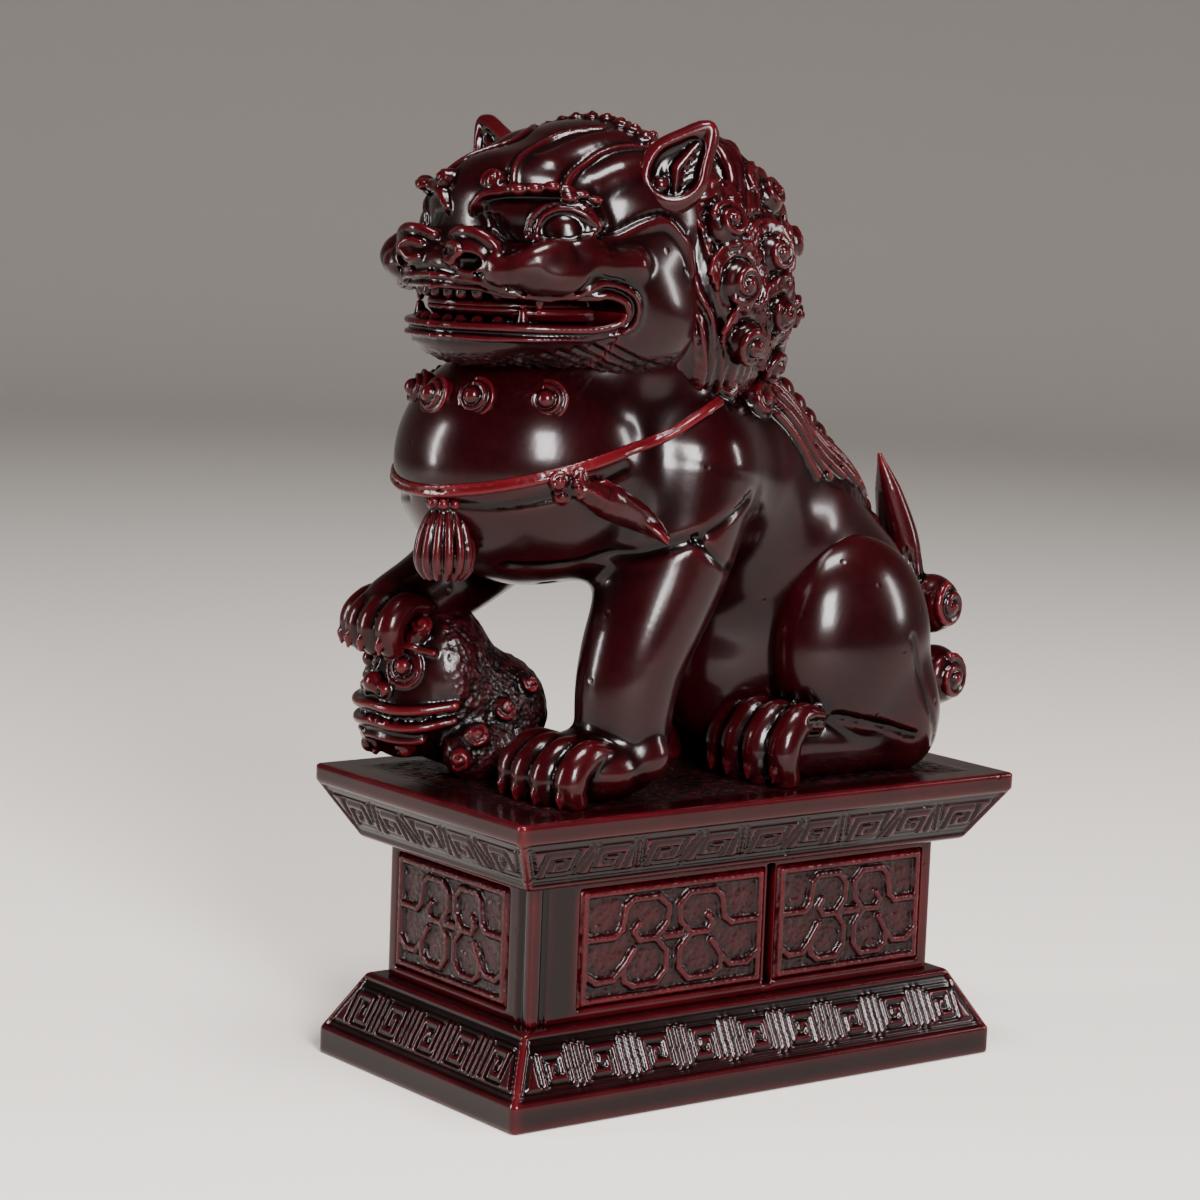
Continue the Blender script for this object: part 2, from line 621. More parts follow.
def make_skull():
    """The whole head with its open mouth, before the jaw is parted from it."""
    clay = Clay((-23.5, -42, 93.5), (23.5, 1, 132), 0.32)
    for centre, radii, soft in (((0, -8, 116), (18, 17, 13.3), 0), ((0, -22, 117), (13, 9, 8), 3),
                                ((0, -25, 109.8), (12.4, 10.6, 5.4), 2.4),
                                ((0, -18.0, 101.8), (15.2, 16.6, 5.0), 3.5),
                                ((0, -29.0, 100.8), (8.8, 5.4, 3.5), 1.8),
                                ((0, -12, 104), (15, 20, 8), 3)):
        clay.ball(centre, radii, soft)
    for side in (-1, 1):
        clay.ball((side * 10.6, -12.5, 107.6), (8.3, 12.6, 10), 2.4)
        clay.ball((side * 10.8, -9.5, 103.6), (7.8, 10, 7.4), 2.4)
        clay.ball((side * 10.4, -24.5, 109.6), (7, 8, 4.2), 2.4)
        clay.ball((side * 11.2, -22.6, 115.2), (4.4, 4.2, 4.2), 2.0)
    # two broad lobes each side sweep up and back, each with a raised edge
    for side in (-1, 1):
        for path, edge, thick in (
                (((13.8, -23.4, 120.6), (13.6, -17.6, 122.8), (14.2, -11.5, 124.4)),
                 ((13.2, -25.4, 120.4), (10.9, -21.8, 122.4), (10.1, -17.6, 123.9),
                  (10.9, -13.4, 125.4), (12.4, -10.0, 125.6)), 3.7),
                (((7.6, -26.2, 121.8), (7.6, -20.5, 124.8), (8.4, -12, 126.6)),
                 ((7.3, -28.8, 120.2), (5.4, -26.2, 122.9), (3.6, -21.6, 125.3),
                  (3.5, -17.4, 126.6), (6.6, -12.6, 127.8)), 4.2)):
            lobe = clay.snap(smooth_path(flank(side, *path), 16), 0.7 - thick)
            clay.tube(lobe, [thick * 0.7, thick * 0.98, thick, thick * 0.93], 0.25)
            edge = flank(side, *edge)
            clay.groove(edge - (side * 0.75, 0, 0), 0.5, 26, 0.3)
            clay.bead(edge, 0.42, 26, 0.45, lift=0.12)
    for side in (-1, 1):
        carve_nose(clay, side)
        carve_eye(clay, side)
        carve_brow(clay, side)
        # folds between the nose and the eye
        for fold in range(4):
            clay.groove([(side * (3.0 + fold * 1.0), -32.4 + fold * 0.8, 117 - fold * 0.2),
                (side * (4.6 + fold * 1.1), -32 + fold * 0.9, 115.4 - fold * 0.45),
                (side * (6.8 + fold * 1.2), -31 + fold * 0.9, 113.9 - fold * 0.6)], 0.34, 12, 0.25)
        # the fold that runs back from the eye's outer corner and frames the cheek
        fold = flank(side, (14.6, -21.2, 113.0), (15.9, -18, 114.4), (16.9, -14.3, 115.9),
            (17.6, -11, 116.3), (17.6, -8, 113.6), (17.2, -6.6, 110))
        clay.bead(fold, 0.45, 26, 1.2, lift=-0.15)
        clay.groove(fold[:5] - (0, 0.6, -1.2), 0.4, 24, 0.4)
        # the long roll of the upper lip
        clay.bead(flank(side, (9.2, -32.4, 109.4), (12.8, -28, 110), (15.4, -22.4, 110.6),
            (17, -16.5, 110.8)), 1.3, 22, 2.2, lift=-0.2)
    # the mouth: a slot with round corners, hollowed further back behind the teeth
    clay.cut(Block((0, MOUTH["corner"] - 12, MOUTH["middle"]), (24, 12, MOUTH["half"]), 1.85), 0.25)
    clay.cut(Blob((0, -22, MOUTH["middle"]), (11.5, 10.0, 3.2)), 0.4)
    clay.ball((0, -17.2, MOUTH["middle"]), (11.4, 16.2, 4), 0.2)
    for side in (-1, 1):
        clay.bead(lip_line(side, 0.55), 0.55, 54, 0.2, lift=0.15)
        clay.bead(lip_line(side, 2.0), 0.48, 54, 0.35, lift=0.12)
        clay.groove(lip_line(side, 1.3), 0.3, 54, 0.25)
        clay.groove(lip_line(side, 2.75), 0.3, 54, 0.35)
        for tooth in range(5):
            x, y = 1.2 + 2.0 * tooth, -33.6 + 0.33 * tooth ** 2
            clay.ball((side * x, y, 106.6), (0.85, 0.8, 0.85), 0.15)
            clay.ball((side * x * 1.02, y, 103.1), (0.85, 0.8, 0.75), 0.15)
        clay.tube(flank(side, (11.4, -27.2, 107), (11.5, -27.4, 104.6)), [0.95, 0.35], 0.15)
        clay.tube(flank(side, (9.9, -28.6, 102.8), (9.9, -28.8, 105.3)), [0.95, 0.35], 0.15)
        # coarse hair under the jaw
        for lock in range(11):
            x = 1.8 + 1.55 * lock
            y = -28.6 + 0.105 * lock ** 2
            clay.groove([(side * x, y - 1.2, 99.4), (side * x, y + 3, 97.4),
                (side * x * 0.97, y + 8, 96.6)], 0.42, 12, 0.25)
    clay.roughen(0.24, 0.8, 5, np.clip((99.0 - clay.axes[2]) / 1.0, 0, 1)[None, None, :])
    # beaded curls along the hairline
    line = clay.snap(smooth_path([(-15.5, -9, 124), (-11, -8.6, 127.2), (-4, -8.4, 128.8),
        (4, -8.4, 128.8), (11, -8.6, 127.2), (15.5, -9, 124)], 15))
    for number, spot in enumerate(line):
        normal = clay.slope(spot[None])[0]
        snail(clay, spot - 0.45 * normal, normal, 1.6, 1.2, hand=(-1) ** number, start=60 * number,
            along=(1, 0, 0))
    clay.keep(Plane((0, -5.6, 0), (0, 1, 0)))
    return clay


def part_jaw(skull):
    """The head without its lower jaw, and the jaw."""
    head, jaw = copy.deepcopy(skull), skull
    reach = 60.0
    corner = (0, MOUTH["split"] - reach, MOUTH["middle"] - reach)
    head.cut(Block(corner, (reach, reach, reach), 0), 0)
    jaw.keep(Plane((0, 0, MOUTH["middle"]), (0, 0, 1)))
    jaw.keep(Plane((0, MOUTH["split"], 0), (0, 1, 0)))
    return head, jaw


def make_tongue():
    """A wide tongue with two ridges round its edge."""
    clay = Clay((-14, -33, 101.5), (14, -10, 108), 0.28)
    clay.ball((0, -17.2, 103.6), (12.2, 13.4, 1.3), 0)
    clay.tube([(0, -16, 103.4), (0, -30, 103.8)], [2.6, 1.6], 1.5)
    edge = [(10.8, -12, 104.2), (11.7, -17, 104.3), (10.7, -23, 104.3), (7.6, -28, 104.3),
        (3.0, -30.6, 104.3)]
    for side in (-1, 1):
        for inset, thick in ((0.0, 0.62), (1.7, 0.55)):
            ridge = [(side * (x - inset), y + 0.5 * inset, z + 0.35 * inset) for x, y, z in edge]
            clay.tube(smooth_path(ridge, 20), thick, 0.2)
    clay.keep(Plane((0, -11, 0), (0, 1, 0)))
    return clay


def make_ear(side):
    """A leaf-shaped ear that points up and back, with a raised rim and a leafy ridge inside."""
    clay = Clay((min(side * 10, side * 22.5), -19, 115), (max(side * 10, side * 22.5), 2, 131),
        0.24)
    face = basis((0.74, -0.66, 0.1) if side > 0 else (-0.1, -0.98, 0.2))
    centre = np.array((side * 16.9, -9.8, 122.9))
    back = -side
    outline = [(-4.4, -1.2), (-3.4, -4.0), (0.2, -4.8), (3.6, -2.6), (4.6, 1.4), (5.4, 6.4),
        (1.2, 5.0), (-2.6, 2.8)]
    leaf = np.array([centre - face[0] * u * back * 0.86 + face[1] * v * 0.88 for u, v in outline])
    middle = leaf.mean(0)
    for share, depth in ((0.94, 0.2), (0.7, 0.7), (0.42, 1.1), (0.15, 1.3)):
        ring = smooth_path(middle + (leaf - middle) * share, 30, True)
        clay.tube(np.vstack([ring, ring[:1]]) - face[2] * depth, 1.3, 0.5)
    clay.ball((side * 15.4, -8.4, 120.4), (3.0, 4.2, 4), 1.4)
    rim = smooth_path(leaf, 36, True)
    clay.tube(np.vstack([rim, rim[:1]]) + face[2] * 0.5, 0.62, 0.2)
    hollow = smooth_path(middle + (leaf - middle) * 0.55, 26, True)
    clay.cut(Rope(np.vstack([hollow, hollow[:1]]) + face[2] * 1.1, 1.15), 0.4)
    clay.cut(Blob(middle + face[2] * 1.3, (2.3, 2.6, 1.7), face), 0.4)
    root, tip = leaf[2] + (leaf[6] - leaf[2]) * 0.18, leaf[5] + (middle - leaf[5]) * 0.3
    clay.tube([root - face[2] * 0.2, middle, tip], [0.75, 0.8, 0.4], 0.25)
    for number in range(5):
        stem = root + (tip - root) * (0.15 + 0.17 * number)
        for hand in (-1, 1):
            vein = face[0] * hand * 1.9 + face[1] * 1.1 - face[2] * 0.1
            clay.tube([stem - face[2] * 0.1, stem + vein * (0.9 - 0.12 * number)], [0.45, 0.3], 0.2)
    clay.ball(leaf[1] + (middle - leaf[1]) * 0.4 + face[2] * 0.1, (1.15, 1.15, 1.15), 0.2)
    return clay


# Snail curls of the mane, one side: across, back and height in the head's frame, and their size.
INNER_CURLS = ((14.6, -1.6, 121.6, 2.6), (16.0, -0.2, 115.6, 3.3), (17.6, 0.9, 108.6, 3.3),
               (17.2, 2.6, 101.2, 3.2))
OUTER_CURLS = ((13.6, 11.0, 119.4, 2.7), (18.4, 8.2, 112.4, 2.8), (18.6, 9.8, 104.6, 2.8),
               (15.6, 11.6, 97.6, 2.7))
BACK_CURLS = ((4.6, 18.6, 118.6, 2.8), (10.8, 17.0, 113.6, 3.0), (4.6, 20.8, 109.6, 3.0),
              (12.0, 17.6, 104.4, 3.0), (4.6, 20.6, 100.4, 2.9), (9.6, 16.4, 96.0, 2.6))


def make_mane():
    """The ruff: flowing strands set with snail curls."""
    clay = Clay((-23.5, -7, 86), (23.5, 24.5, 131), 0.34)
    clay.ball((0, 6.5, 108), (18.4, 14.4, 19.2), 0)
    clay.ball((0, 0.5, 101), (18.4, 13, 12.5), 3)
    clay.ball((0, -1.0, 109), (18.6, 8.5, 15.5), 3)
    for side in (-1, 1):
        for column, angle in enumerate((12, 38, 59, 78, 97, 116, 133)):
            for strand in range(7):
                a = math.radians(angle + (strand - 3) * 3.1)
                wave = 0.08 * math.sin(strand)
                points = []
                for t in np.linspace(0, 1, 8):
                    level = math.radians(64 - 112 * t)
                    bend = a + 0.10 * math.sin(6.3 * t + column) + wave * t
                    points.append((side * 18.4 * math.sin(bend) * math.cos(level),
                        6.5 + 14.4 * math.cos(bend) * math.cos(level),
                        108 + 19.2 * math.sin(level)))
                clay.bead(clay.snap(points), 0.46 if column < 5 else 0.36, 30, 0.12, lift=0.0)
    # a flame lock rises behind the ear
    for side in (-1, 1):
        for strand in range(4):
            clay.bead([(side * (16.4 - 0.3 * strand), 2.0 + 1.3 * strand, 117.5),
                (side * (13.6 - 0.3 * strand), 4.4 + 1.2 * strand, 121.8),
                (side * (10.6 - 0.3 * strand), 5.4 + 1.1 * strand, 125.2),
                (side * (6.4 - 0.3 * strand), 5.2 + strand, 127.4)], 0.75, 20, 0.25, lift=0.5)
        for number, (x, y, z, size) in enumerate(INNER_CURLS + OUTER_CURLS + BACK_CURLS):
            spot = clay.spot(side * x, y, z)
            outward = clay.slope(spot[None], 1.5)[0]
            rows = basis(outward)
            for ring in range(3):
                reach = size + 0.5 + 0.8 * ring
                middle = 70 if side > 0 else 110
                clay.bead(arc_points(spot, rows, middle - 120 + 12 * ring, middle + 120 - 12 * ring,
                    reach, 20), 0.4, 24, 0.12, lift=0.25)
            snail(clay, spot + 0.1 * outward, outward, size, 1.7, hand=side * (-1) ** number,
                start=90 + 70 * number, dome=0.85)
    clay.keep(Plane((0, -6.2, 0), (0, -1, 0)))
    clay.cut(Blob((0, -25.5, 84), (15, 15, 12)), 0.2)
    return clay


# ---- tail, cub and ornaments ----

def make_tail():
    """An upright ridged plume between two pairs of curls."""
    clay = Clay((-11.5, 31, 42), (11.5, 50, 86), 0.27)
    clay.ball((0, 40.5, 58.5), (5.4, 4.6, 13), 0)
    for x in (0, -1.7, 1.7):
        path = [(x, 41.0, 56), (x * 1.1, 41.4, 63), (x * 0.9, 40.4, 71), (x * 0.4, 38.2, 78),
            (0, 36.2, 83.3)]
        clay.tube(smooth_path(path, 26), [2.0, 2.3, 2.1, 1.5, 0.3], 0.25)
    for side in (-1, 1):
        for z, y, size, hand in ((62, 43.4, 4.3, 1), (51.5, 44.6, 4.4, -1)):
            centre = np.array((side * 4.6, y, z))
            clay.ball(centre, (4.2, 3.9, size), 0.6)
            snail(clay, centre + (side * 2.2, 0.2, 0), (side, 0.25, 0.0), size - 0.5, 1.8,
                hand=side * hand, start=100, dome=0.55)
        strands(clay, flank(side, (1.2, 44.6, 68), (2.4, 46.4, 58), (1.4, 46, 47)),
            flank(side, (4, 38.5, 70), (5.6, 40, 57), (4.2, 41, 46)), 5, 0.35, 16)
    return clay


def make_cub():
    """The cub on its back under the paw: face, folded leg and curls."""
    clay = Clay((-25, -43.8, DECK - 1), (0.5, -11, 67), 0.27)
    for centre, radii, soft in (((-13.5, -31, 53.5), (9.3, 8.2, 10.8), 0),
                                ((-11, -24.5, 48.5), (8, 9.5, 8.6), 2.5),
                                ((-14, -35.8, 49.2), (7.6, 4.8, 6.6), 1.8),
                                ((-5.5, -28, 44.4), (4, 6, 4.4), 1.2)):
        clay.ball(centre, radii, soft)
    middle = -13.6
    for side in (-1, 1):
        x = middle + side * 4.0
        eye = clay.spot(x, -38.4, 55.8)
        rosette(clay, eye, (side * 0.35, -1, 0.15), 1.25, 2, 0.9, 0.34, 0, 360)
        clay.ball(clay.spot(middle + side * 1.7, -40.4, 52.6), (1.5, 1.3, 1.2), 0.3)
        clay.cut(Blob((middle + side * 2.0, -41.2, 52.1), (0.6, 0.8, 0.5)), 0.2)
        for number in range(3):
            spot = clay.spot(x + side * 0.8 * number, -36.5, 59.2 + 1.2 * number)
            snail(clay, spot, (side * 0.4, -0.8, 0.5), 1.5, 1.1, hand=side, start=90 * number)
        clay.bead([(middle + side * 1, -40.4, 57), (middle + side * 3.6, -38.8, 58.6),
            (middle + side * 7, -35.6, 57.8)], 0.5, 14, 0.25)
    clay.ball((middle, -40.4, 53.2), (1.7, 1.5, 1.5), 0.4)
    lip = np.array([(middle - 8.2, -33, 51), (middle - 7, -36.8, 50.2), (middle - 4, -39.8, 49.9),
        (middle, -40.8, 50.2), (middle + 4, -39.8, 49.9), (middle + 7, -36.8, 50.2),
        (middle + 8.2, -33, 51)])
    clay.bead(lip, 0.7, 32, 0.3, lift=0.2)
    clay.groove(lip - (0, 0, 1.2), 0.6, 32, 0.25)
    clay.bead(lip - (0, 0, 2.3), 0.6, 32, 0.3, lift=0.2)
    teeth = clay.snap(smooth_path(lip - (0, 0, 1.2), 17)[2:-2], -0.25)
    for tooth in teeth:
        clay.ball(tooth, (0.5, 0.6, 0.65), 0.1)
    clay.bead([(x * 0.98 - 0.3, y, z - 4.6) for x, y, z in lip[1:-1]], 0.5, 24, 0.5)
    rosette(clay, clay.spot(-17.4, -38.6, 43.8), (-0.2, -1, 0.1), 1.3, 2, 0.85, 0.38)
    rosette(clay, clay.spot(-9.0, -38.2, 43.4), (0.3, -1, 0.1), 0.9, 1, 0.8, 0.34)
    for x, y, z, size in ((-2.6, -31.0, 47.0, 1.9), (-3.0, -33.4, 43.8, 1.7),
                          (-4.2, -26, 50, 1.8), (-5.4, -22, 52.4, 1.7)):
        spot = clay.spot(x, y, z)
        snail(clay, spot, clay.slope(spot[None], 1.2)[0], size, 1.4, start=40 * x)
    strands(clay, [(-4.5, -30, 56), (-3.2, -26, 52), (-2.6, -22, 46)],
        [(-7, -26, 59.5), (-5, -20, 54), (-4.4, -16.5, 47)], 8, 0.3, 16)
    clay.roughen(0.16, 0.8, 11, (clay.axes[1] > -34)[None, :, None])
    return on_deck(clay)


def make_collar(trunk):
    """A thin cord with a finer one along its upper edge, lying lower on the chest."""
    clay = Clay((-22, -47, 76), (22, -2, 98), 0.27)
    half = [(17.4, -7.0, 93.6), (17.8, -12.5, 90.8), (18.0, -18.3, 88.4), (18.7, -25, 86.4),
        (16.2, -33.9, 83.7), (9.4, -40.5, 81.7)]
    ring = smooth_path(half + [(0, -42.9, 80.9)] + [(-x, y, z) for x, y, z in reversed(half)], 61)
    for rise, thick in ((-0.2, 0.55), (0.6, 0.34)):
        line = trunk.snap(ring + (0, 0, rise), 0.15)
        clay.tube(line, thick, 0.15)
    return clay


def make_bell():
    """The chest ornament: a beaded cap over a round fluted tassel."""
    clay = Clay((-2, -47, 69), (10, -35, 82), 0.22)
    middle = np.array((4.0, -41.7, 0.0))
    clay.tube(middle + np.array([(0, 0, 78.6), (0, 0, 76.2), (0, 0, 73.4), (0, 0, 72.4)]),
        [1.6, 2.6, 3.1, 3.0], 0)
    for flute in range(14):
        angle = 2 * math.pi * flute / 14
        way = np.array((math.cos(angle), math.sin(angle), 0))
        stem = [middle + way * reach + (0, 0, z) for reach, z in ((1.2, 79.0), (2.6, 76.6),
            (3.35, 73.6), (3.2, 71.2), (2.5, 69.9))]
        clay.tube(smooth_path(stem, 12), [0.45, 0.62, 0.72, 0.55], 0.12)
    for bead in range(8):
        angle = 2 * math.pi * bead / 8
        clay.ball(middle + (1.9 * math.cos(angle), 1.9 * math.sin(angle), 79.3), (0.8, 0.8, 0.8),
            0.15)
    clay.ball(middle + (0, 0.4, 80.3), (1.6, 1.6, 1.3), 0.3)
    return clay


def make_tassel(side, trunk):
    """A knot of curls under the cord with a fluted leaf blown back from it."""
    clay = Clay((min(side * 8, side * 25), -40, 70), (max(side * 8, side * 25), -12, 90), 0.25)
    leaf = trunk.snap(smooth_path(flank(side, (16.8, -30.8, 82.4), (18.6, -26, 80.4),
        (19.8, -21.5, 77.8), (20.2, -18, 75.6)), 14), 0.5)
    clay.tube(leaf, [1.3, 2.5, 2.0, 0.5], 0)
    for flute in range(5):
        shift = np.array((0, -0.35, 1.0)) * (flute - 2) * 1.0
        fade = np.interp(np.linspace(0, 1, len(leaf)), (0, 0.35, 0.7, 1), (0.5, 1.0, 0.7, 0.1))
        line = trunk.snap(leaf + shift * fade[:, None], 2.1 - 0.35 * abs(flute - 2))
        clay.tube(line, [0.45, 0.62, 0.5, 0.28], 0.12)
    for x, y, z, size in ((16.0, -32.8, 83.2, 1.6), (17.2, -30.4, 83.8, 1.4),
                          (16.2, -32.2, 81.2, 1.4)):
        spot = trunk.spot(side * x, y, z, lift=0.5)
        snail(clay, spot, (side, -0.6, 0.1), size, 1.2, hand=side, start=60)
    return clay


def make_beard_curl(centre, normal):
    """A red bead with two ringed folds, set under the chin."""
    centre = np.array(centre, float)
    clay = Clay(centre - 4.4, centre + 4.4, 0.2)
    rows = basis(normal)
    clay.ball(centre - 0.7 * rows[2], (2.7, 2.7, 1.7), 0, rows)
    for reach, rise in ((1.7, 0.65), (2.5, 0.0)):
        clay.tube(arc_points(centre, rows, -200, 100, reach, 24, rise), 0.32, 0.12)
    clay.ball(centre + 0.75 * rows[2], (1.2, 1.2, 1.2), 0.1)
    return clay


# ---- the plinth ----

FOOT = {"wide": 46.8, "long": 83.2, "band": 3.6, "rise": 8.2, "slope": 28.8}
CAP = {"wide": 49.0, "long": 85.4, "low": 30.7, "drop": 7.7, "slope": 31.4}
STEP = 0.29


def slab(clay, wide, long, low, high, low_grow=0.0, high_grow=0.0):
    """An oblong layer whose four sides may slope; grow is how far each end stands out."""
    x, y, z = clay.places()
    edge = 0.9
    share = np.clip((z - low) / (high - low), 0, 1)
    grow = low_grow + (high_grow - low_grow) * share
    lean = (high_grow - low_grow) / (high - low)
    across = np.abs(x) - wide / 2 - grow + edge
    along = np.abs(y) - long / 2 - grow + edge
    sides = np.sqrt(np.maximum(across, 0) ** 2
        + np.maximum(along, 0) ** 2) + np.minimum(np.maximum(across, along), 0) - edge
    sides = sides / math.sqrt(1 + lean ** 2)
    ends = np.maximum(low - z, z - high)
    body = smooth_max(sides, np.broadcast_to(ends, sides.shape), 0.5)
    clay.field = smooth_min(clay.field, body, 0.25).astype(np.float32)


def spiral_cell(left, right, low, high, mirror):
    """A rectangular spiral: out along the border, then wound inward."""
    gap = 1.35
    path = [(left, low), (left, high), (right, high), (right, low), (left + gap, low),
        (left + gap, high - gap), (right - gap, high - gap), (right - gap, low + gap),
        (left + 2 * gap, low + gap), (left + 2 * gap, high - 2 * gap)]
    if mirror:
        path = [(left + right - u, v) for u, v in path]
    return path


def fret(clay, side_face, half_length, lean, height, cells, slant):
    """Key fret carved in one sloping side: spirals between double bars, inside border lines.

    side_face turns (along, up-slope) into a place; lean is how much the side grows per unit up.
    """
    top = height / 2
    lines = [[(-half_length - lean * v, v), (half_length + lean * v, v)]
        for v in (-top - 0.7, -top, top, top + 0.7)]
    width = 2 * half_length / cells
    for cell in range(1, cells):
        edge = -half_length + cell * width
        tilt = slant * (1 if cell % 2 else -1)
        for shift in (-0.55, 0.55):
            lines.append([(edge + shift - tilt, -top), (edge + shift + tilt, top)])
    for end in (-1, 1):
        edge = end * (half_length - 0.4)
        lines.append([(edge - end * lean * top, -top), (edge + end * lean * top, top)])
    for cell in range(cells):
        left = -half_length + cell * width + (1.7 if cell else 2.0)
        right = -half_length + (cell + 1) * width - (1.7 if cell < cells - 1 else 2.0)
        lines.append(spiral_cell(left, right, -top + 0.8, top - 0.8, cell % 2 == 1))
    for path in lines:
        places = [side_face(u, v) for u, v in path]
        for start, end in zip(places, places[1:]):
            clay.cut(Rope([start, end], 0.32), 0.12)


def sloping_sides(clay, wide, long, middle, height, angle, outward, cells_long, cells_short,
                  slant=0.0):
    """Fret all four sides of a sloping band; wide and long are taken at its middle height."""
    lean = math.tan(math.radians(angle)) * outward
    up = np.array((0, 0, math.cos(math.radians(angle))))
    for quarter in range(4):
        turn = np.radians(90 * quarter)
        out = np.array((math.sin(turn), -math.cos(turn), 0))
        along = np.array((math.cos(turn), math.sin(turn), 0))
        reach = (long if quarter % 2 == 0 else wide) / 2
        half = (wide if quarter % 2 == 0 else long) / 2
        normal = out * math.cos(math.radians(angle)) - np.array((0, 0,
            math.sin(math.radians(angle)) * outward))
        slope = up + out * math.sin(math.radians(angle)) * outward

        def face(u, v):
            return (out * reach + along * u + np.array((0, 0, middle)) + slope * v - normal * 0.08)

        fret(clay, face, half - 1.0, lean * math.cos(math.radians(angle)), height,
            cells_short if quarter % 2 == 0 else cells_long, slant)


def make_foot():
    """The spreading foot with its key fret."""
    clay = Clay((-24, -42.2, -0.3), (24, 42.2, 12.6), STEP)
    inset = FOOT["rise"] * math.tan(math.radians(FOOT["slope"]))
    top = FOOT["band"] + FOOT["rise"]
    slab(clay, FOOT["wide"], FOOT["long"], 0, FOOT["band"] + 0.2)
    slab(clay, FOOT["wide"], FOOT["long"], FOOT["band"], top, 0, -inset)
    sloping_sides(clay, FOOT["wide"] - inset, FOOT["long"] - inset, FOOT["band"] + FOOT["rise"] / 2,
        6.2, FOOT["slope"], -1, 9, 5)
    return clay


def deck_ground(x, y):
    """1 on the deck's rough ground, falling to 0 over 2 mm at its smooth border."""
    return np.clip((20.5 - np.maximum(np.abs(x), np.abs(y) / 1.86)) / 2, 0, 1)


def make_cap():
    """The cap that spreads out to the deck, fretted on its underside."""
    clay = Clay((-25.2, -43.4, 30.2), (25.2, 43.4, 41.4), STEP)
    inset = CAP["drop"] * math.tan(math.radians(CAP["slope"]))
    turn = CAP["low"] + CAP["drop"]
    slab(clay, CAP["wide"], CAP["long"], turn - 0.2, DECK)
    slab(clay, CAP["wide"], CAP["long"], CAP["low"], turn, -inset, 0)
    sloping_sides(clay, CAP["wide"] - inset, CAP["long"] - inset, CAP["low"] + CAP["drop"] / 2, 5.4,
        CAP["slope"], 1, 9, 5, 0.9)
    ground = noise(clay.axes, 0.75, 21)
    x, y, z = clay.places()
    clay.field += (0.16 * ground * deck_ground(x, y) * (z > DECK - 1)).astype(np.float32)
    return clay


def strip(clay, start, end, normal, wide, high):
    """A flat-topped raised band between two places on a face."""
    start, end = np.array(start, float), np.array(end, float)
    way = end - start
    length = np.linalg.norm(way)
    way /= length
    rows = np.array([way, np.cross(normal, way), normal])
    clay.add(Block((start + end) / 2, (length / 2 + wide / 2, wide / 2, high), wide * 0.36, rows),
        0.12)


WAIST = {"wide": 33.4, "long": 69.8, "middle": 21.25}
# Each panel's side, in degrees round from the front, and its kind.
PANELS = {"front_panel": (0, "end"), "rear_panel": (180, "end"),
          "left_front_panel": (90, "long"), "right_rear_panel": (270, "long"),
          "left_rear_panel": (90, "short"), "right_front_panel": (270, "short")}
# Each kind's middle along its side, its length, and how far out that side of the waist is.
PANEL_SIZES = {"end": (-1.6, 26.2, WAIST["long"] / 2), "long": (-11.4, 31.4, WAIST["wide"] / 2),
               "short": (19.7, 26.6, WAIST["wide"] / 2)}


def make_waist():
    """The upright waist: corner posts, grooves, a seat for each panel and a gap on each flank."""
    clay = Clay((-17.4, -35.6, 11.2), (17.4, 35.6, 31.2), STEP)
    wide, long, middle = WAIST["wide"] / 2, WAIST["long"] / 2, WAIST["middle"]
    clay.add(Block((0, 0, middle), (wide, long, 9.6), 0.5), 0)

    def sink(angle, place, face, halves):
        rows = spin(angle)
        clay.cut(Block(rows.T @ np.array((place, -face, middle)), halves, 0.2, rows), 0.1)

    for angle, kind in PANELS.values():
        centre, length, face = PANEL_SIZES[kind]
        sink(angle, centre, face, (length / 2, 1.5, 8.05))
    for angle, place, face in ((0, 14.5, long), (180, 14.5, long), (90, -32.7, wide),
                               (270, -32.7, wide)):
        turn = spin(angle).T
        clay.cut(Rope([turn @ np.array((place, -face, z)) for z in (11, 32)], 0.55), 0.2)
    # the open gap between the long and the short panel of each flank
    for angle in (90, 270):
        sink(angle, 5.35, wide, (0.8, 1.9, 8.4))
    return clay


# Half of the panels' strapwork: a two-lobed figure like a numeral three, and its arms.
LOBES = [(8.7, 2.0), (8.1, 5.0), (6.9, 5.9), (2.6, 5.9), (0.9, 4.4), (1.1, 2.2), (3.0, 0.3),
         (1.1, -1.6), (1.1, -4.2), (2.8, -5.9), (6.6, -5.9), (8.1, -5.0), (8.3, -3.2), (6.6, -1.0)]
ARMS = ([(14.8, 1.1), (9.9, 1.1), (8.7, 2.0)],
        [(14.8, -3.4), (12.8, -4.8), (9.9, -4.7), (8.3, -3.2)],
        [(3.0, 0.3), (5.8, 0.3), (6.7, 1.5), (5.9, 2.4)])


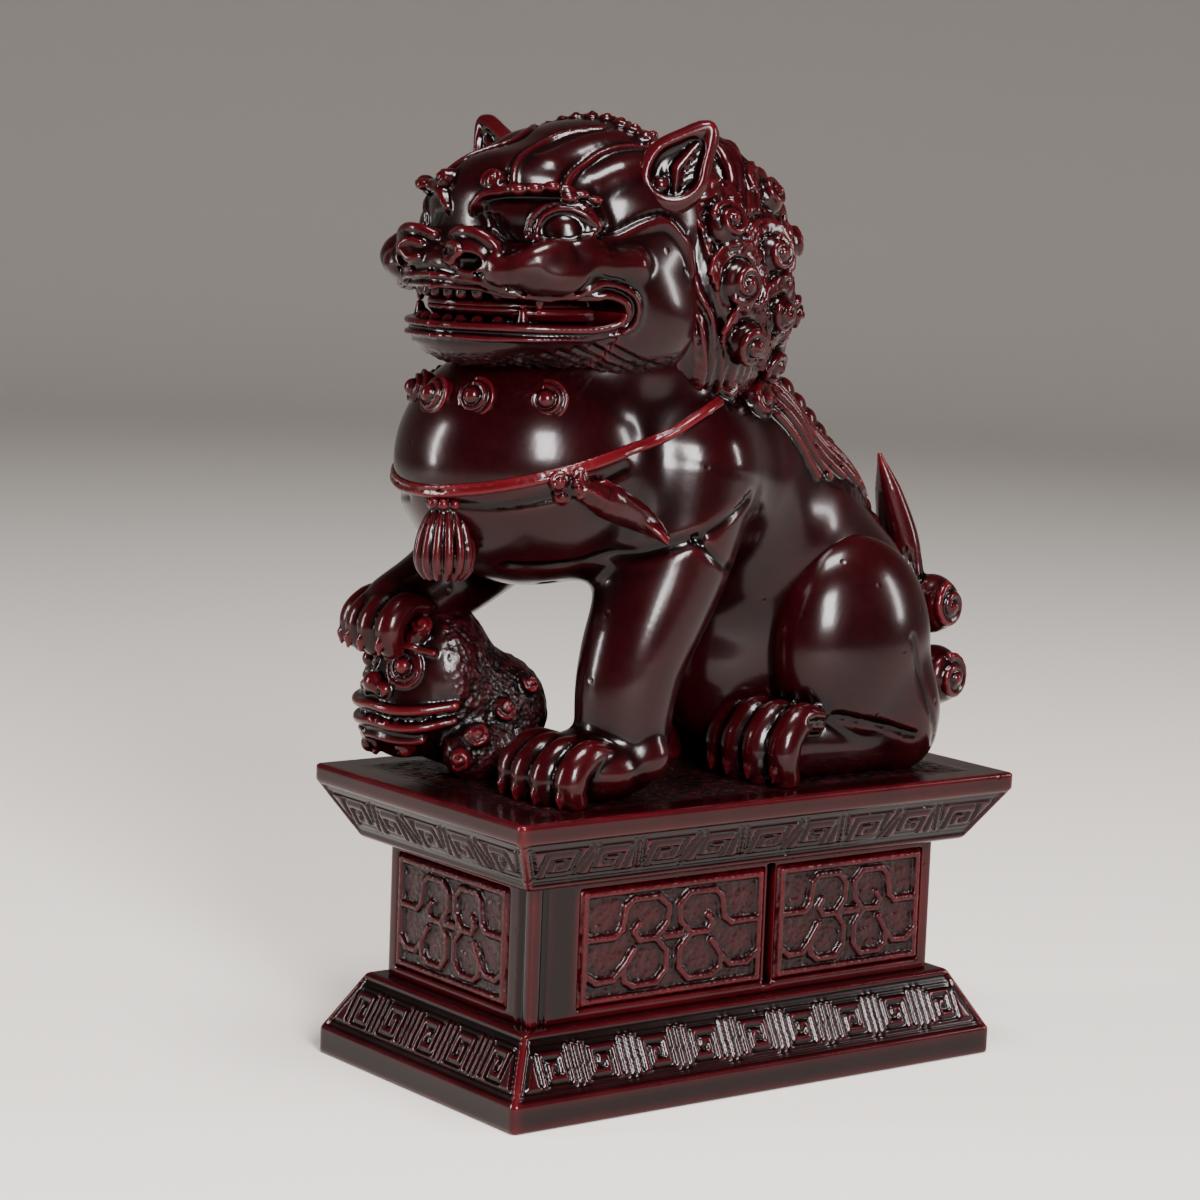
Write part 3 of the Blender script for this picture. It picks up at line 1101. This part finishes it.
def make_panel(kind):
    """A sunk panel: a thin frame around strapwork on a rough ground, facing -Y."""
    centre, long, face = PANEL_SIZES[kind]
    reach = long / 2 + 0.6
    clay = Clay((centre - reach, -face - 1.2, 12.6), (centre + reach, -face + 2, 29.9), 0.25)
    middle = WAIST["middle"]
    clay.add(Block((centre, -face + 0.9, middle), (long / 2 - 0.1, 0.62, 7.95), 0.2), 0)
    clay.roughen(0.10, 0.8, 31)
    half, tall = long / 2 - 0.9, 7.2

    def line(points, wide=1.0):
        path = [(centre + u, -face + 0.12, middle + v) for u, v in points]
        for start, end in zip(path, path[1:]):
            strip(clay, start, end, (0, -1, 0), wide, 0.42)

    line([(-half, -tall), (half, -tall), (half, tall), (-half, tall), (-half, -tall)], 0.9)
    scale = half / 14.8
    for side in (-1, 1):
        for path in (LOBES, *ARMS):
            line([(side * u * scale, v) for u, v in path])
    line([(-1.2, 0.4), (1.2, 0.4)], 1.3)
    return clay


def make_felt():
    """The felt sheet on the underside, a little crowned at its rim."""
    clay = Clay((-22, -40, -0.2), (22, 40, 1.2), 0.3)
    clay.add(Block((0, 0, 0.4), (21, 39.2, 0.4), 0.3), 0)
    return clay


# ---- finishes ----

def new_material(name):
    """A material with its node tree and its Principled shader."""
    material = bpy.data.materials.new(name)
    material.use_nodes = True
    return material, material.node_tree, material.node_tree.nodes["Principled BSDF"]


def node(tree, kind, **settings):
    """A shader node; a setting called in_Name is the value or the link of its input Name."""
    made = tree.nodes.new("ShaderNode" + kind)
    for name, value in settings.items():
        if not name.startswith("in_"):
            setattr(made, name, value)
            continue
        socket = made.inputs[name[3:].replace("_", " ")]
        if isinstance(value, bpy.types.NodeSocket):
            tree.links.new(value, socket)
        else:
            socket.default_value = value
    return made


def remap(tree, value, from_range, to_range=(0.0, 1.0)):
    """A value stretched from one range to another and clamped."""
    return node(tree, "MapRange", in_Value=value, in_From_Min=from_range[0],
        in_From_Max=from_range[1], in_To_Min=to_range[0], in_To_Max=to_range[1]).outputs["Result"]


def scaled(tree, value, factor, plus=0.0):
    """value * factor + plus, where each may be a number or a link."""
    made = node(tree, "Math", operation="MULTIPLY_ADD")
    for socket, part in zip(made.inputs, (value, factor, plus)):
        if isinstance(part, float):
            socket.default_value = part
        else:
            tree.links.new(part, socket)
    return made.outputs["Value"]


def ramp(tree, value, stops):
    """A colour ramp; stops are pairs of place and red, green, blue."""
    made = node(tree, "ValToRGB", in_Fac=value)
    elements = made.color_ramp.elements
    for place, _ in stops[1:-1]:
        elements.new(place)
    for element, (place, colour) in zip(elements, stops):
        element.position, element.color = place, (*colour, 1)
    return made.outputs["Color"]


def bump(tree, height, strength, distance, **under):
    """A bump, laid over another one's in_Normal."""
    return node(tree, "Bump", in_Strength=strength, in_Distance=distance, in_Height=height,
        **under).outputs["Normal"]


def make_resin():
    """Dark mahogany lacquer: black in the recesses, rubbed red on the edges, glossy with pits."""
    material, tree, shader = new_material("mahogany_lacquer")
    link = tree.links.new
    for name, value in (("IOR", 1.46), ("Coat Weight", 0.12), ("Coat Roughness", 0.10),
                        ("Specular IOR Level", 0.17)):
        shader.inputs[name].default_value = value
    place = node(tree, "TexCoord").outputs["Object"]
    relief, grain = (node(tree, "Attribute", attribute_name=name).outputs["Fac"]
        for name in ("relief", "grain"))
    blotch = node(tree, "TexNoise", in_Vector=place, in_Scale=90.0, in_Detail=5.0,
        in_Roughness=0.6).outputs["Fac"]
    fine = node(tree, "TexNoise", in_Vector=place, in_Scale=900.0, in_Detail=4.0,
        in_Roughness=0.65).outputs["Fac"]
    pits, stipple = (node(tree, "TexVoronoi", in_Vector=place, in_Scale=scale).outputs["Distance"]
        for scale in (210.0, 1300.0))
    # colour: how raised a place is, broken up by noise
    worn = remap(tree, scaled(tree, fine, 0.55, relief), (-0.75, 2.1))
    lacquer = ramp(tree, worn, ((0.0, (0.0004, 0.0001, 0.0001)), (0.32, (0.0032, 0.0002, 0.0004)),
        (0.52, (0.0130, 0.0006, 0.0013)), (0.78, (0.025, 0.0010, 0.0022)),
        (1.0, (0.050, 0.0024, 0.0042))))
    tint = node(tree, "Mix", data_type="RGBA", blend_type="MULTIPLY")
    tint.inputs["Factor"].default_value = 0.55
    link(lacquer, tint.inputs["A"])
    link(remap(tree, blotch, (0.3, 0.7), (0.45, 1.5)), tint.inputs["B"])
    link(tint.outputs["Result"], shader.inputs["Base Color"])
    # gloss: slightly uneven, duller in the rough ground
    gloss = remap(tree, blotch, (0.0, 1.0), (0.12, 0.30))
    link(scaled(tree, grain, 0.22, gloss), shader.inputs["Roughness"])
    # skin: soft ripples, scattered pin holes and stippled ground
    ripple = bump(tree, blotch, 0.08, 0.0004)
    pin = bump(tree, remap(tree, pits, (0.04, 0.11)), 0.35, 0.00012, in_Normal=ripple)
    skin = bump(tree, fine, 0.06, 0.0001, in_Normal=pin)
    ground = bump(tree, scaled(tree, stipple, grain), 0.8, 0.00035, in_Normal=skin)
    link(ground, shader.inputs["Normal"])
    link(pin, shader.inputs["Coat Normal"])
    return material


def make_felt_material():
    """Dark matte felt with short fibres."""
    material, tree, shader = new_material("dark_felt")
    shader.inputs["Roughness"].default_value = 0.95
    shader.inputs["Sheen Weight"].default_value = 0.4
    fibre = node(tree, "TexNoise", in_Scale=1600.0, in_Detail=5.0).outputs["Fac"]
    colour = ramp(tree, fibre, ((0.0, (0.008, 0.007, 0.007)), (1.0, (0.045, 0.040, 0.038))))
    tree.links.new(colour, shader.inputs["Base Color"])
    tree.links.new(bump(tree, fibre, 0.6, 0.0003), shader.inputs["Normal"])
    return material


# ---- putting it together ----

def rough_deck(points):
    """The rough ground of the deck's upper face."""
    return deck_ground(points[:, 0], points[:, 1]) * (points[:, 2] > DECK - 0.6)


def below(level):
    """A mask that is 1 below a height."""
    return lambda points: np.clip(level - points[:, 2], 0, 1)


def place_piece(name, clay, nodes, material, turn=None, rough=None):
    """Mesh a lump, give it its finish and let it stand for its CAD nodes."""
    piece = to_mesh(name, clay, turn, rough)
    piece.data.materials.append(material)
    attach(piece, "root")
    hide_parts(*nodes)


def main():
    """Camera and light, then every piece from the felt up."""
    make_camera()
    make_studio()
    resin, felt = make_resin(), make_felt_material()
    place_piece("felt_sheet", make_felt(), ["base_felt"], felt)
    place_piece("carved_foot", make_foot(), ["plinth_foot"], resin)
    place_piece("carved_waist", make_waist(), ["plinth_waist"], resin)
    place_piece("carved_cap", make_cap(), ["plinth_cap"], resin, rough=rough_deck)
    for name, (angle, kind) in PANELS.items():
        rows = spin(angle)
        place_piece(f"carved_{name}", make_panel(kind), [name], resin, turn=lambda points,
            rows=rows: points @ rows, rough=lambda points: np.full(len(points), 0.45))
    trunk = make_trunk()
    place_piece("lion_trunk", trunk, ["torso", "left_foreleg", "right_foreleg"], resin)
    head, jaw = part_jaw(make_skull())
    place_piece("lion_head", head, ["head"], resin, head_turn, below(99.4))
    place_piece("lion_jaw", jaw, ["lower_jaw"], resin, head_turn, below(99.4))
    place_piece("lion_tongue", make_tongue(), ["tongue"], resin, head_turn)
    place_piece("lion_mane", make_mane(), ["mane"], resin, head_turn)
    for side, hand in ((1, "left"), (-1, "right")):
        place_piece(f"{hand}_haunch", make_hind_leg(side), [f"{hand}_hind_leg"], resin)
        place_piece(f"{hand}_ear_leaf", make_ear(side), [f"{hand}_ear"], resin, head_turn)
        place_piece(f"{hand}_tassel_leaf", make_tassel(side, trunk), [f"{hand}_tassel"], resin)
        for place, x, y, lean in (("inner", 6.6, -39.4, 0.35), ("outer", 12.8, -32.6, 0.85)):
            place_piece(f"{hand}_{place}_curl", make_beard_curl((side * x, y, 93.2),
                (side * lean, -0.9, 0.3)), [f"beard_curl_{hand}_{place}"], resin)
    place_piece("middle_curl", make_beard_curl((0, -41.4, 93), (0, -1, 0.3)), ["beard_curl_middle"],
        resin)
    place_piece("plume_tail", make_tail(), ["tail"], resin)
    place_piece("carved_cub", make_cub(), ["cub"], resin,
        rough=lambda points: 0.8 * np.clip((points[:, 1] + 35) / 3, 0, 1))
    place_piece("neck_cord", make_collar(trunk), ["collar_cord"], resin)
    place_piece("fan_bell", make_bell(), ["bell"], resin)


main()
